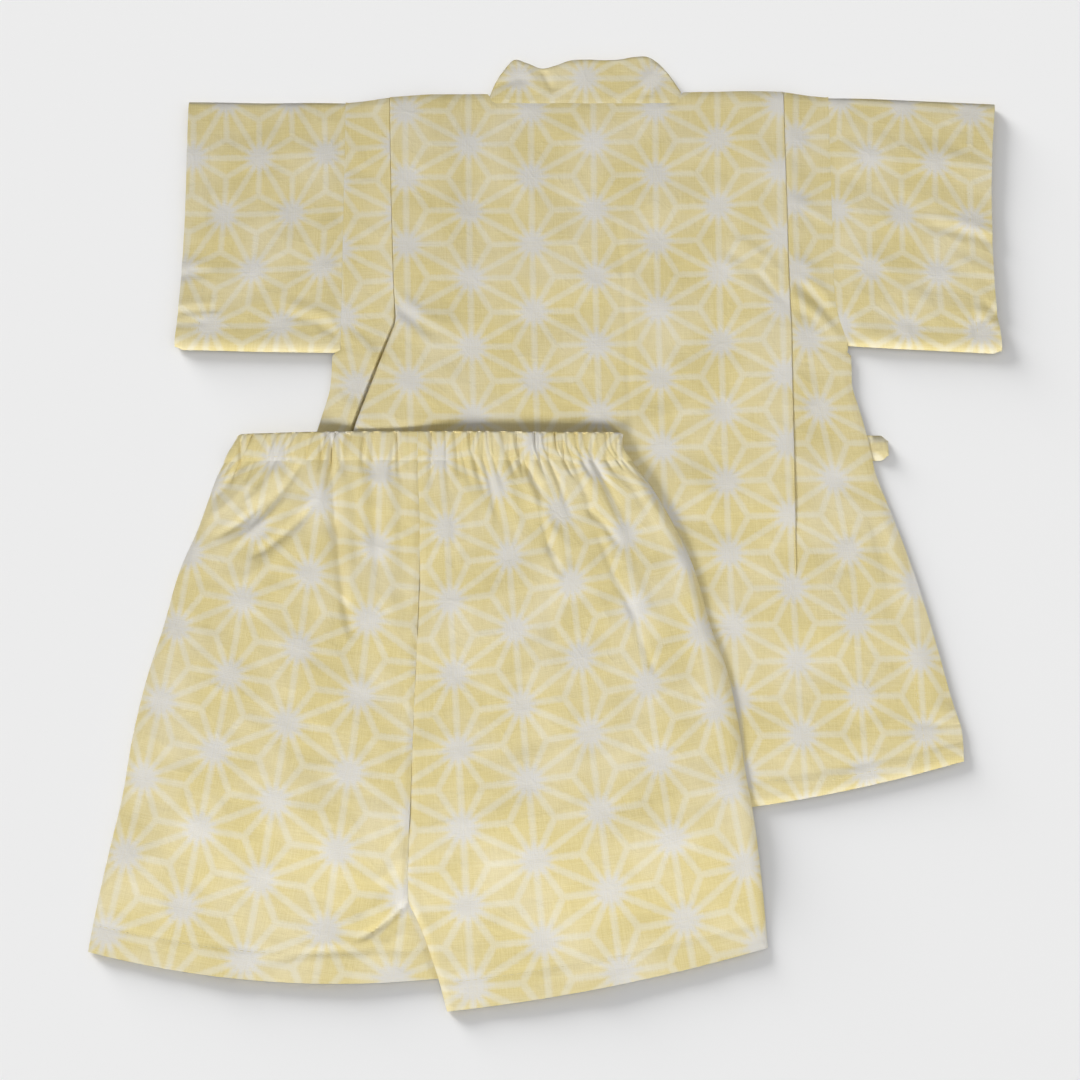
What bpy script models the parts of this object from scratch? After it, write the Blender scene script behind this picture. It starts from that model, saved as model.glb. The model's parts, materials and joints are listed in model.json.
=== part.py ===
"""Child's jinbei set laid flat: a kimono-style top lying face down, with its shorts on it.

+X runs to the top's right sleeve, +Y from the hem to the collar, +Z up from the surface.
All sizes below are in millimetres; MM turns them into metres.
"""
import math
from collections import namedtuple

import bmesh
import bpy
from mathutils import Vector

MM = 0.001
WELD = 0.01

# Cloth and layers
WALL = 1.0                       # thickness of one cloth
GAP = 0.3                        # clearance between two pieces
LAYER = WALL + GAP
FRONT_LEFT_Z = WALL / 2          # middle of the cloth that lies on the floor
FRONT_RIGHT_Z = FRONT_LEFT_Z + LAYER
BACK_Z = FRONT_RIGHT_Z + LAYER
SHORTS_REST = BACK_Z + WALL / 2 + GAP

# Top
TOP_CENTRE = 14.0
SEAM_OUT = 123.0                 # centre line to sleeve seam
SEAM_FOOT = 81.4                 # height at which the sleeve seam ends
UNDERARM = 80.6
NECK_HALF = 49.0
NECK_Y = 213.0
HEM_Y = -149.0
HEM_RISE = 27.0                  # the hem is higher at the sides than in the middle
HEM_FADE = 49.0
SHOULDER_FADE = 33.0
FRONT_EDGE_OUT = 90.0            # how far each front passes the centre line
COLLAR_FOOT = 38.0               # where the collar ends on the front edge
COLLAR_RUN = 28.0                # collar width, measured across the garment
COLLAR_END_GAP = 1.0
COLLAR_STEPS = 7
COLLAR_COLUMNS = (0.0, 0.5, 1.0)
TUCK_PITCH = 1.8                 # rise from one cloth of a tuck to the next
TUCK_SLOPE = 24.0                # where the tuck's top cloth has come down again
TUCK_SLOPE_END = 0.7             # its height there, and halfway, in pitches
TUCK_SLOPE_MIDDLE = 1.7
SIDE_DROP_X = -78.0
SIDE_DROP_RUN = 10.0

# Shorts
SHORTS_TOP = 23.2
CASING_FOOT = 24.2
CASING_TOP = 39.5
CASING_LEFT = (-163.5, -157.0)   # at the foot and at the top edge
CASING_RIGHT = (35.0, 30.5)
CASING_ROWS = (0.0, 0.35, 0.7, 1.0)   # shares of the way up
CASING_LOFT = 3.0
CASING_CROWN = 1.2
GATHERS = 18
GATHER_DEPTH = 0.6
GATHER_RUN = 26.0
LEG_LOFT = 2.2
LEG_PUFF = 1.0
DRAPE_RAMP = 14.0                # run over which the shorts fall from the top to the floor
DRAPE_MARGIN = 10.0              # the fall starts this far outside the top's outline
SEAM_HALF_GAP = 0.25
CROTCH_Y = -188.0
LEG_APART = 1.5                  # how far each leg's edge leaves the seam below the crotch
LEG_APART_RUN = 10.0

Side = namedtuple("Side", "y half_width")
BODY_SIDES = (
    Side(UNDERARM, 127.0), Side(61.0, 128.0), Side(48.0, 132.0), Side(28.0, 138.0),
    Side(11.0, 143.0), Side(-4.0, 149.0), Side(-30.0, 157.0), Side(-61.0, 165.0),
    Side(-82.0, 170.0), Side(-103.0, 175.0), Side(-122.0, 176.6), Side(HEM_Y, 176.6),
)
Shoulder = namedtuple("Shoulder", "x y")
SHOULDER_LINE = (
    Shoulder(-110.0, 213.3), Shoulder(-86.0, 215.8), Shoulder(-66.0, 217.4),
    Shoulder(-39.0, 218.5), Shoulder(-34.0, 213.0), Shoulder(60.0, 213.0),
    Shoulder(64.0, 219.6), Shoulder(114.0, 218.5), Shoulder(138.0, 216.3),
)
Tuck = namedtuple("Tuck", "y fold_x depth")
LEFT_TUCK = (
    Tuck(213.0, -86.5, 12.0), Tuck(150.0, -84.6, 12.0), Tuck(113.0, -83.0, 12.0),
    Tuck(81.0, -90.5, 15.0), Tuck(50.0, -98.5, 19.0), Tuck(HEM_Y, -104.0, 19.0),
)
RIGHT_TUCK = (
    Tuck(213.0, 114.2, 10.5), Tuck(113.0, 114.0, 10.0), Tuck(81.0, 115.0, 8.0),
    Tuck(50.0, 114.5, 5.5), Tuck(20.0, 114.0, 3.0), Tuck(HEM_Y, 114.0, 3.0),
)
LEFT_TUCK_END = 50.0
RIGHT_TUCK_END = 20.0
BACK_ROWS = (HEM_Y, -125.0, -100.0, -65.0, -30.0, 0.0, 20.0, 41.5, 50.0, 66.0,
             UNDERARM, SEAM_FOOT, 113.0, 150.0, 185.0, NECK_Y)
BACK_MIDDLE = (-39.0, -34.0, -10.0, 13.0, 37.0, 60.0, 64.0)
FRONT_ROWS = (HEM_Y, -125.0, -82.0, -30.0, 11.0, COLLAR_FOOT - 0.5, COLLAR_FOOT + 0.5, 61.0,
              UNDERARM, SEAM_FOOT, 126.0, 170.0, NECK_Y)
FRONT_COLUMNS = 6

Sleeve = namedtuple("Sleeve", "out top bottom")
SLEEVE_STATIONS = (
    Sleeve(SEAM_OUT + GAP, 214.0, 82.4), Sleeve(137.0, 214.3, 82.2), Sleeve(153.0, 214.3, 82.0),
    Sleeve(171.0, 214.0, 82.0), Sleeve(190.0, 213.3, 82.4), Sleeve(204.0, 212.6, 84.0),
)
Loft = namedtuple("Loft", "share extra")
SLEEVE_LOFT = (                  # share of the way from the fold to the bottom seam
    Loft(0.02, 0.0), Loft(0.15, 0.4), Loft(0.3, 0.7), Loft(0.5, 0.5),
    Loft(0.7, 0.6), Loft(0.85, 1.3), Loft(0.94, 1.6), Loft(0.98, 1.2),
)
SLEEVE_UNDER = (0.98, 0.75, 0.5, 0.25, 0.02)   # the same shares along the cloth below
SLEEVE_LOFT_RISE = 3.0           # the full loft is reached a third of the way to the cuff
SLEEVE_EXTRA_RISE = 4.0          # and the extra loft a quarter of the way

Stand = namedtuple("Stand", "x top rise")
COLLAR_STAND = (
    Stand(-33.5, 219.0, 0.0), Stand(-25.0, 236.4, 0.8), Stand(-9.0, 231.0, 1.8),
    Stand(4.0, 236.0, 2.4), Stand(27.0, 236.0, 2.6), Stand(38.0, 238.2, 2.0),
    Stand(50.0, 235.0, 0.9), Stand(59.5, 221.0, 0.0),
)
COLLAR_ROWS = (0.0, 0.35, 0.7, 1.0)   # shares of the stand's height

Edge = namedtuple("Edge", "y x")
LEFT_OUTER = (
    Edge(23.2, -163.5), Edge(19.0, -167.0), Edge(-8.0, -175.5), Edge(-29.0, -184.5),
    Edge(-56.0, -190.5), Edge(-83.0, -198.5), Edge(-111.0, -203.5), Edge(-138.0, -207.0),
    Edge(-166.0, -212.5), Edge(-211.0, -220.3),
)
RIGHT_OUTER = (
    Edge(23.2, 35.0), Edge(13.0, 43.0), Edge(-6.0, 54.0), Edge(-26.0, 63.0), Edge(-57.0, 71.2),
    Edge(-75.0, 78.0), Edge(-105.0, 84.0), Edge(-143.0, 89.5), Edge(-209.0, 96.3),
)
INNER = (
    Edge(23.2, -69.7), Edge(-15.0, -68.0), Edge(-67.0, -69.0), Edge(-138.0, -71.0),
    Edge(CROTCH_Y, -71.6), Edge(-206.0, -63.5), Edge(-223.0, -57.5), Edge(-237.7, -53.0),
)
INNER_ROWS = (SHORTS_TOP, 12.0, -2.0, -20.0, -42.0, -67.0, -92.0, -110.0, -124.0, -137.0,
              -150.0, -163.0, -176.0, CROTCH_Y, -206.0)
LegCut = namedtuple("LegCut", "outer outer_hem inner_hem hem_sag")
LEFT_LEG = LegCut(LEFT_OUTER, -210.5, -223.0, -7.5)
RIGHT_LEG = LegCut(RIGHT_OUTER, -209.0, -237.7, -3.3)
LEG_UPPER_COLUMNS = 16
LEG_LOWER_COLUMNS = 8

Fold = namedtuple("Fold", "x0 y0 x1 y1 half_width height")
SHORTS_FOLDS = (
    Fold(-111, 14, -107, -15, 9, -0.9), Fold(-107, -15, -102, -60, 9, -0.9),
    Fold(-100, 5, -96, -55, 10, 0.8), Fold(-118, 2, -114, -60, 10, 0.7),
    Fold(-129, 17, -150, -8, 8, -0.7), Fold(-143, 5, -163, -11, 8, -0.6),
    Fold(-20, 22, -5, -18, 9, -0.8), Fold(-5, -18, 1, -58, 9, 0.8),
    Fold(6, 21, 26, -15, 9, -0.8), Fold(19, -15, 44, -76, 10, -0.9),
    Fold(30, -10, 55, -70, 10, 0.8), Fold(-62, -150, -30, -215, 12, 0.7),
)

# Ties
TIE_WIDTH = 12.0
TIE_Y = 32.0
TIE_END = 163.0
TIE_SIDE_START = 153.3
TIE_SIDE_END = 157.5
TIE_STEPS = 6
TIE_COLUMNS = (-1.0, 0.0, 1.0)
TIE_NARROWING = 0.25             # at its end, as a share of the width
TIE_NARROWS_FROM = 0.85          # share of the length

BODY_COLOUR = (0.78, 0.68, 0.36)
TRIM_COLOUR = (0.74, 0.64, 0.33)
SHORTS_COLOUR = (0.80, 0.71, 0.40)


def clear_scene():
    for item in list(bpy.data.objects):
        bpy.data.objects.remove(item, do_unlink=True)


def make_collection():
    group = bpy.data.collections.new("jinbei_set")
    bpy.context.scene.collection.children.link(group)
    return group


def smooth(t):
    t = min(max(t, 0.0), 1.0)
    return t * t * (3.0 - 2.0 * t)


def mix(a, b, t):
    return a + (b - a) * t


def along(rows, key, at, field):
    """Value of a table's column at a place between its rows."""
    rows = sorted(rows, key=lambda row: getattr(row, key))
    low = rows[0]
    for high in rows:
        start, stop = getattr(low, key), getattr(high, key)
        if at <= stop and stop > start:
            share = min(max((at - start) / (stop - start), 0.0), 1.0)
            return mix(getattr(low, field), getattr(high, field), share)
        low = high
    return getattr(rows[-1], field)


def cloth_material(name, colour):
    material = bpy.data.materials.new(name)
    material.use_nodes = True
    shader = material.node_tree.nodes["Principled BSDF"]
    shader.inputs["Base Color"].default_value = (*colour, 1.0)
    shader.inputs["Roughness"].default_value = 0.9
    shader.inputs["Metallic"].default_value = 0.0
    return material


def cloth_sheet(group, name, columns, rows, place, colour):
    """A cloth: a grid whose points are set by place(column, row), given its wall."""
    mesh = bpy.data.meshes.new(name)
    grid = bmesh.new()
    across, down = len(columns) - 1, len(rows) - 1
    bmesh.ops.create_grid(grid, x_segments=across, y_segments=down, size=0.5)
    for vert in grid.verts:
        column = columns[round((vert.co.x + 0.5) * across)]
        row = rows[round((vert.co.y + 0.5) * down)]
        vert.co = Vector(place(column, row)) * MM
    bmesh.ops.remove_doubles(grid, verts=grid.verts, dist=WELD * MM)
    grid.to_mesh(mesh)
    grid.free()
    mesh.shade_smooth()
    item = bpy.data.objects.new(name, mesh)
    group.objects.link(item)
    mesh.materials.append(cloth_material(name, colour))
    wall = item.modifiers.new("wall", "SOLIDIFY")
    wall.thickness = WALL * MM
    wall.offset = 0.0
    return item


# ---- the top ----

def half_width(y):
    if y >= SEAM_FOOT:
        return SEAM_OUT
    return along(BODY_SIDES, "y", y, "half_width")


def hem_rise(x):
    return HEM_RISE * min(abs(x - TOP_CENTRE) / BODY_SIDES[-1].half_width, 1.0) ** 2


def edge_shift(x, y):
    """How far a point moves so that the shoulder line and the hem get their curves."""
    at_shoulder = smooth((y - NECK_Y + SHOULDER_FADE) / SHOULDER_FADE)
    at_hem = smooth((HEM_Y + HEM_FADE - y) / HEM_FADE)
    lift = along(SHOULDER_LINE, "x", x, "y") - NECK_Y
    return lift * at_shoulder + hem_rise(x) * at_hem


def tuck_section(tuck, side, released):
    """Across one tuck, from the middle of the back outwards: three cloths with two folds."""
    radius = TUCK_PITCH / 2
    top = BACK_Z + 2 * TUCK_PITCH
    points = [
        (-TUCK_SLOPE, BACK_Z + TUCK_SLOPE_END * TUCK_PITCH),
        (-TUCK_SLOPE / 2, BACK_Z + TUCK_SLOPE_MIDDLE * TUCK_PITCH),
        (-radius, top), (0.0, top - radius), (-radius, top - 2 * radius),
        (-tuck.depth + radius, BACK_Z + TUCK_PITCH), (-tuck.depth, BACK_Z + radius),
        (-tuck.depth + radius, BACK_Z), (2 * radius, BACK_Z),
    ]
    if released:
        first, last = points[0][0], points[-1][0]
        count = len(points) - 1
        points = [(mix(first, last, i / count), BACK_Z) for i in range(count + 1)]
    return [(tuck.fold_x + side * x, z) for x, z in points]


def back_section(y):
    """Points across the whole back at one height."""
    left = Tuck(y, along(LEFT_TUCK, "y", y, "fold_x"), along(LEFT_TUCK, "y", y, "depth"))
    right = Tuck(y, along(RIGHT_TUCK, "y", y, "fold_x"), along(RIGHT_TUCK, "y", y, "depth"))
    reach = half_width(y)
    points = [(TOP_CENTRE - reach, BACK_Z)]
    points += reversed(tuck_section(left, -1, y < LEFT_TUCK_END))
    points += [(x, BACK_Z) for x in BACK_MIDDLE]
    points += tuck_section(right, 1, y < RIGHT_TUCK_END)
    points.append((TOP_CENTRE + reach, BACK_Z))
    return points


def make_back(group, colour):
    sections = {y: back_section(y) for y in BACK_ROWS}

    def place(column, y):
        x, z = sections[y][column]
        drop = LAYER * smooth((SIDE_DROP_X - x) / SIDE_DROP_RUN)
        return x, y + edge_shift(x, y), z - drop

    columns = range(len(sections[HEM_Y]))
    return cloth_sheet(group, "back", columns, BACK_ROWS, place, colour)


def front_edge(y):
    """Distance from the centre line to a front's crossing edge, past the centre."""
    share = min(max((y - COLLAR_FOOT) / (NECK_Y - COLLAR_FOOT), 0.0), 1.0)
    return mix(FRONT_EDGE_OUT, -NECK_HALF, share)


def make_front(group, name, side, level, colour):
    """One front; side is -1 for the left one and 1 for the right one."""
    def place(column, y):
        edge = -front_edge(y)
        if y > COLLAR_FOOT:
            edge += COLLAR_RUN + GAP
        share = column / FRONT_COLUMNS
        x = TOP_CENTRE + side * mix(half_width(y), edge, share)
        shift = edge_shift(x, y)
        if y > COLLAR_FOOT:
            shift *= 1.0 - share
        return x, y + shift, level

    return cloth_sheet(group, name, range(FRONT_COLUMNS + 1), FRONT_ROWS, place, colour)


def make_front_collar(group, name, side, level, colour):
    foot, head = COLLAR_FOOT + COLLAR_END_GAP, NECK_Y - COLLAR_END_GAP
    rows = [mix(foot, head, i / COLLAR_STEPS) for i in range(COLLAR_STEPS + 1)]

    def place(share, y):
        out = -front_edge(y) + share * COLLAR_RUN
        return TOP_CENTRE + side * out, y, level

    return cloth_sheet(group, name, COLLAR_COLUMNS, rows, place, colour)


def make_collar_neck(group, colour):
    def place(stand, share):
        y = mix(NECK_Y + GAP, stand.top, share)
        return stand.x, y, BACK_Z + stand.rise * share

    return cloth_sheet(group, "collar_neck", COLLAR_STAND, COLLAR_ROWS, place, colour)


def make_sleeve(group, name, side, seam_loft, colour):
    """A flattened tube: under cloth, fold at the top, upper cloth, rolled seam below."""
    lower = [("under", share) for share in SLEEVE_UNDER]
    upper = [("upper", row.share) for row in SLEEVE_LOFT]
    ring = lower + [("fold", 0.0)] + upper + [("roll", 1.0)]
    ring.append(ring[0])

    def place(station, point):
        kind, share = point
        y = mix(station.top, station.bottom, share)
        out_share = (station.out - SEAM_OUT) / (SLEEVE_STATIONS[-1].out - SEAM_OUT)
        loft = mix(seam_loft, 2 * LAYER, smooth(SLEEVE_LOFT_RISE * out_share))
        extra = along(SLEEVE_LOFT, "share", share, "extra")
        if kind == "under":
            z = 0.0
        elif kind == "upper":
            z = loft + extra * smooth(SLEEVE_EXTRA_RISE * out_share)
        else:
            z = loft / 2
        return TOP_CENTRE + side * station.out, y, WALL / 2 + z

    return cloth_sheet(group, name, SLEEVE_STATIONS, ring, place, colour)


# ---- the shorts ----

def resting_height(x, y):
    """Height of what the shorts lie on: the top, or the floor beyond its outline."""
    side_room = half_width(min(y, UNDERARM)) - abs(x - TOP_CENTRE)
    hem_room = y - HEM_Y - hem_rise(x)
    room = min(side_room, hem_room) + DRAPE_MARGIN
    return SHORTS_REST * smooth(1.0 + room / DRAPE_RAMP)


def folds_at(x, y):
    total = 0.0
    for fold in SHORTS_FOLDS:
        run = Vector((fold.x1 - fold.x0, fold.y1 - fold.y0))
        offset = Vector((x - fold.x0, y - fold.y0))
        share = min(max(offset.dot(run) / run.length_squared, 0.0), 1.0)
        away = (offset - run * share).length
        total += fold.height * (1.0 - smooth(away / fold.half_width))
    return total


def make_leg(group, name, side, cut, colour):
    """One leg, folded at its outer side and open along the centre seam."""
    stations = INNER_ROWS + (cut.inner_hem,)
    upper = [("upper", i / LEG_UPPER_COLUMNS, i) for i in range(LEG_UPPER_COLUMNS)]
    under = [("under", i / LEG_LOWER_COLUMNS, 0) for i in reversed(range(LEG_LOWER_COLUMNS))]
    ring = upper + [("fold", 1.0, 0)] + under
    fall = SHORTS_TOP - cut.inner_hem

    def place(point, inner_y):
        kind, share, index = point
        down = (SHORTS_TOP - inner_y) / fall
        outer_y = mix(SHORTS_TOP, cut.outer_hem, down)
        apart = SEAM_HALF_GAP + LEG_APART * smooth((CROTCH_Y - inner_y) / LEG_APART_RUN)
        inner_x = along(INNER, "y", inner_y, "x") + side * apart
        outer_x = along(cut.outer, "y", outer_y, "x")
        x = mix(inner_x, outer_x, share)
        sag = cut.hem_sag * 4.0 * share * (1.0 - share) * down * down
        y = mix(inner_y, outer_y, share) + sag
        low = resting_height(x, y) + WALL / 2
        if kind == "under":
            return x, y, low
        if kind == "fold":
            return x, y, low + LEG_LOFT / 2
        gather = GATHER_DEPTH * (-1.0) ** index * (1.0 - smooth((SHORTS_TOP - y) / GATHER_RUN))
        puff = LEG_PUFF * math.sin(math.pi * share)
        loft = LEG_LOFT + puff + gather + folds_at(x, y)
        return x, y, low + max(loft, LAYER)

    return cloth_sheet(group, name, ring, stations, place, colour)


def make_waistband(group, colour):
    """The gathered casing: a flattened ring with a small ripple at every gather."""
    steps = 2 * GATHERS
    upper = [("upper", (i + 0.5) / steps, i) for i in range(steps)]
    under = [("under", (i + 0.5) / steps, i) for i in reversed(range(steps))]
    ring = upper + [("end", 1.0, 0)] + under + [("end", 0.0, 0)]
    ring.append(ring[0])

    def place(point, share_up):
        kind, share, index = point
        left, right = mix(*CASING_LEFT, share_up), mix(*CASING_RIGHT, share_up)
        x = mix(left, right, share)
        y = mix(CASING_FOOT, CASING_TOP, share_up)
        low = resting_height(x, y) + WALL / 2 + GAP
        crown = CASING_CROWN * math.sin(math.pi * share_up)
        ripple = GATHER_DEPTH * (-1.0) ** index
        if kind == "under":
            return x, y, low + abs(ripple) + ripple / 2
        if kind == "end":
            return x, y, low + GATHER_DEPTH + CASING_LOFT / 2
        return x, y, low + GATHER_DEPTH + CASING_LOFT + crown + ripple / 2

    return cloth_sheet(group, "waistband", ring, CASING_ROWS, place, colour)


# ---- the ties ----

def make_tie(group, name, start, end, level, colour):
    def place(share, across):
        at_end = smooth((share - TIE_NARROWS_FROM) / (1.0 - TIE_NARROWS_FROM))
        half = TIE_WIDTH / 2 * (1.0 - TIE_NARROWING * at_end)
        return mix(start, end, share), TIE_Y + across * half, level

    stations = [i / TIE_STEPS for i in range(TIE_STEPS + 1)]
    return cloth_sheet(group, name, stations, TIE_COLUMNS, place, colour)


def build():
    clear_scene()
    group = make_collection()
    make_front(group, "front_left", -1, FRONT_LEFT_Z, BODY_COLOUR)
    make_front(group, "front_right", 1, FRONT_RIGHT_Z, BODY_COLOUR)
    make_front_collar(group, "collar_left", -1, FRONT_LEFT_Z, TRIM_COLOUR)
    make_front_collar(group, "collar_right", 1, FRONT_RIGHT_Z, TRIM_COLOUR)
    make_back(group, BODY_COLOUR)
    make_collar_neck(group, TRIM_COLOUR)
    make_sleeve(group, "sleeve_left", -1, LAYER, BODY_COLOUR)
    make_sleeve(group, "sleeve_right", 1, 2 * LAYER, BODY_COLOUR)
    tie_start = TOP_CENTRE + FRONT_EDGE_OUT + GAP
    make_tie(group, "tie_front", tie_start, TIE_END, FRONT_LEFT_Z, TRIM_COLOUR)
    make_tie(group, "tie_side", TIE_SIDE_START, TIE_SIDE_END, FRONT_RIGHT_Z, TRIM_COLOUR)
    make_leg(group, "leg_left", -1, LEFT_LEG, SHORTS_COLOUR)
    make_leg(group, "leg_right", 1, RIGHT_LEG, SHORTS_COLOUR)
    make_waistband(group, SHORTS_COLOUR)


build()
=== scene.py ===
import json
import math
import bpy
import numpy as np
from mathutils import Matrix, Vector

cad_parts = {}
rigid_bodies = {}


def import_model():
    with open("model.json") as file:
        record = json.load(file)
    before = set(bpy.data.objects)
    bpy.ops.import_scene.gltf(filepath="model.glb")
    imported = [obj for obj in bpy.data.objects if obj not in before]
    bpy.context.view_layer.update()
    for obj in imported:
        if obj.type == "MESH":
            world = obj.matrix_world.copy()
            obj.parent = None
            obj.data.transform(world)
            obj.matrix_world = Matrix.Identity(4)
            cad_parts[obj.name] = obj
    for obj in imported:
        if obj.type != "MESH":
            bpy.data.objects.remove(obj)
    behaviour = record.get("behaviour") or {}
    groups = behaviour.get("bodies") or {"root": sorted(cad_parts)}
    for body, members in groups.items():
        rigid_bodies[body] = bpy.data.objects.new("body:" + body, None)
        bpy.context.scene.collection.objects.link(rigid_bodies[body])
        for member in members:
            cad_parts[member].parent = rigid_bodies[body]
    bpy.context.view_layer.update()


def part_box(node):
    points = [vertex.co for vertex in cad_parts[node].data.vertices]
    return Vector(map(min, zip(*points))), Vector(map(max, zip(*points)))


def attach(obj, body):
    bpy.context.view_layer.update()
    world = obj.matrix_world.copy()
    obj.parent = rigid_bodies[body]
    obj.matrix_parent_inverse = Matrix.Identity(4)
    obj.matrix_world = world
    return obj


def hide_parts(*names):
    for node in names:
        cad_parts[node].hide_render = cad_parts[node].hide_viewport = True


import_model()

bpy.ops.object.select_all(action="DESELECT")
mm = 0.001
clothWall = 0.5  # mm
print("frame loaded")


# small helpers

def smooth(t):
    t = np.clip(t, 0.0, 1.0)
    return t * t * (3.0 - 2.0 * t)


def mix(a, b, t):
    return a + (b - a) * t


def roundEdge(t):  # quarter circle from 0 at the edge to 1 inside
    t = np.clip(t, 0.0, 1.0)
    return np.sqrt(1.0 - (1.0 - t) ** 2)


def curveAt(at, places, values):  # smooth curve through the rows of a table
    places, values = np.asarray(places, float), np.asarray(values, float)
    if places[0] > places[-1]:
        places, values = places[::-1], values[::-1]
    slopes = np.gradient(values, places)
    at = np.clip(at, places[0], places[-1])
    i = np.clip(np.searchsorted(places, at, side="right") - 1, 0, len(places) - 2)
    step = places[i + 1] - places[i]
    t = (at - places[i]) / step
    a = values[i] * (1 + 2 * t) * (1 - t) ** 2 + values[i + 1] * t * t * (3 - 2 * t)
    return a + step * (slopes[i] * t * (1 - t) ** 2 - slopes[i + 1] * t * t * (1 - t))


def lineAt(at, places, values):  # straight runs through the rows of a table
    if places[0] > places[-1]:
        places, values = places[::-1], values[::-1]
    return np.interp(at, places, values)


def creaseHeight(x, y, creases):
    # rows: x0, y0, x1, y1, bow, width, height; soft ridge or trough that fades at both ends
    total = np.zeros_like(x)
    for x0, y0, x1, y1, bow, width, height in creases:
        dx, dy = x1 - x0, y1 - y0
        length = math.hypot(dx, dy)
        t = ((x - x0) * dx + (y - y0) * dy) / length ** 2
        side = ((x - x0) * -dy + (y - y0) * dx) / length
        side = side - bow * 4.0 * t * (1.0 - t)
        fade = smooth((t + 0.25) / 0.4) * smooth((1.25 - t) / 0.4)
        total += height * fade * np.exp(-(side / width) ** 2)
    return total


def wavesAt(x, y, wave, shift=0):  # a wave is its height, size and seed
    height, size, seed = wave
    return height * softNoise(x, y, size, seed + shift)


def softNoise(x, y, size, seed):  # a sum of a few plane waves, the same on every run
    random = np.random.RandomState(seed)
    total = np.zeros_like(x)
    for i in range(9):
        angle = random.uniform(0, math.pi)
        wave = 2 * math.pi / (size * random.uniform(0.6, 1.8))
        phase = random.uniform(0, 6.28)
        total += np.sin((x * math.cos(angle) + y * math.sin(angle)) * wave + phase)
    return total / 4.0


# cloth sheets

def clothSheet(name, x, y, z, u, v, weld=False):
    # arrays of rows by columns, in mm; u and v are the place on the flat cut
    rows, cols = x.shape
    bpy.ops.mesh.primitive_grid_add(x_subdivisions=cols - 1, y_subdivisions=rows - 1, size=1.0)
    piece = bpy.context.object
    piece.name = name
    mesh = piece.data
    mesh.name = name
    start = np.empty(len(mesh.vertices) * 3)
    mesh.vertices.foreach_get("co", start)
    start = start.reshape(-1, 3)
    col = np.rint((start[:, 0] + 0.5) * (cols - 1)).astype(int)
    row = np.rint((start[:, 1] + 0.5) * (rows - 1)).astype(int)
    place = np.stack([x[row, col], y[row, col], z[row, col]], axis=1) * mm
    mesh.vertices.foreach_set("co", place.ravel())
    while mesh.uv_layers:
        mesh.uv_layers.remove(mesh.uv_layers[0])
    layer = mesh.uv_layers.new(name="cut")
    corner = np.empty(len(mesh.loops), int)
    mesh.loops.foreach_get("vertex_index", corner)
    flat = np.stack([u[row, col], v[row, col]], axis=1)[corner] * mm * 10.0
    layer.data.foreach_set("uv", flat.ravel())
    mesh.update()
    bpy.ops.object.mode_set(mode="EDIT")
    bpy.ops.mesh.select_all(action="SELECT")
    if weld:
        bpy.ops.mesh.remove_doubles(threshold=0.00001)
    bpy.ops.object.mode_set(mode="OBJECT")
    shell = piece.modifiers.new("wall", "SOLIDIFY")
    shell.thickness = clothWall * mm
    shell.offset = -1.0
    bpy.ops.object.modifier_apply(modifier=shell.name)
    bpy.ops.object.shade_smooth_by_angle(angle=math.radians(60))
    piece.select_set(False)
    return piece


def finishPiece(piece, material, nodes=()):
    piece.data.materials.clear()
    piece.data.materials.append(material)
    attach(piece, "root")
    if nodes:
        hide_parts(*nodes)


# the cloth's print and weave

class Sock:  # a shader socket that takes plain arithmetic
    def __init__(self, shader, out):
        self.shader, self.out = shader, out

    def math(self, how, *others):
        return self.shader.node("ShaderNodeMath", {"operation": how}, (self,) + others)

    def __add__(self, other):
        return self.math("ADD", other)

    def __radd__(self, other):
        return self.math("ADD", other)

    def __sub__(self, other):
        return self.math("SUBTRACT", other)

    def __rsub__(self, other):
        return self * -1.0 + other

    def __mul__(self, other):
        return self.math("MULTIPLY", other)

    def __rmul__(self, other):
        return self.math("MULTIPLY", other)

    def __truediv__(self, other):
        return self.math("DIVIDE", other)


class Shader:
    def __init__(self, name):
        self.material = bpy.data.materials.new(name)
        self.material.use_nodes = True
        self.tree = self.material.node_tree
        self.tree.nodes.clear()

    def node(self, kind, settings=None, inputs=(), output=0):
        made = self.tree.nodes.new(kind)
        for key, value in (settings or {}).items():
            setattr(made, key, value)
        pairs = inputs.items() if isinstance(inputs, dict) else enumerate(inputs)
        for key, value in pairs:
            if isinstance(value, Sock):
                self.tree.links.new(value.out, made.inputs[key])
            else:
                made.inputs[key].default_value = value
        return Sock(self, made.outputs[output])

    def ramp(self, value, low, high):  # smooth step from low to high
        settings = {"interpolation_type": "SMOOTHSTEP"}
        inputs = {"Value": value, "From Min": low, "From Max": high}
        return self.node("ShaderNodeMapRange", settings, inputs)

    def blend(self, share, a, b):
        return self.node("ShaderNodeMix", {"data_type": "RGBA"}, {0: share, 6: a, 7: b}, 2)

    def noise(self, vector, scale, detail=2.0, rough=0.5):
        return self.node("ShaderNodeTexNoise", {}, {"Vector": vector, "Scale": scale, "Detail": detail,
                                                    "Roughness": rough})

    def scaled(self, vector, factors):
        return self.node("ShaderNodeVectorMath", {"operation": "MULTIPLY"}, (vector, factors))


def colour(hexText):  # the usual six-digit colour, as linear light
    parts = [int(hexText[i:i + 2], 16) / 255 for i in (0, 2, 4)]
    return (*[p / 12.92 if p < 0.04045 else ((p + 0.055) / 1.055) ** 2.4 for p in parts], 1.0)


clothLook = {
    "repeat": 36.0,  # mm from one star to the next
    "lineHalf": 1.5,
    "lineSoft": 0.85,
    "blotchRadius": 8.4,
    "blotchSoft": 4.0,
    "ragged": 0.75,
    "ground": "E6D79D",
    "groundDeep": "DDCC8E",
    "line": "E5DCBB",
    "blotch": "DDDAD3",
    "roughness": 0.88,
    "weaveBump": 0.35,
    "slubBump": 0.5,
    "crumple": 0.32,
}


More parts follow.
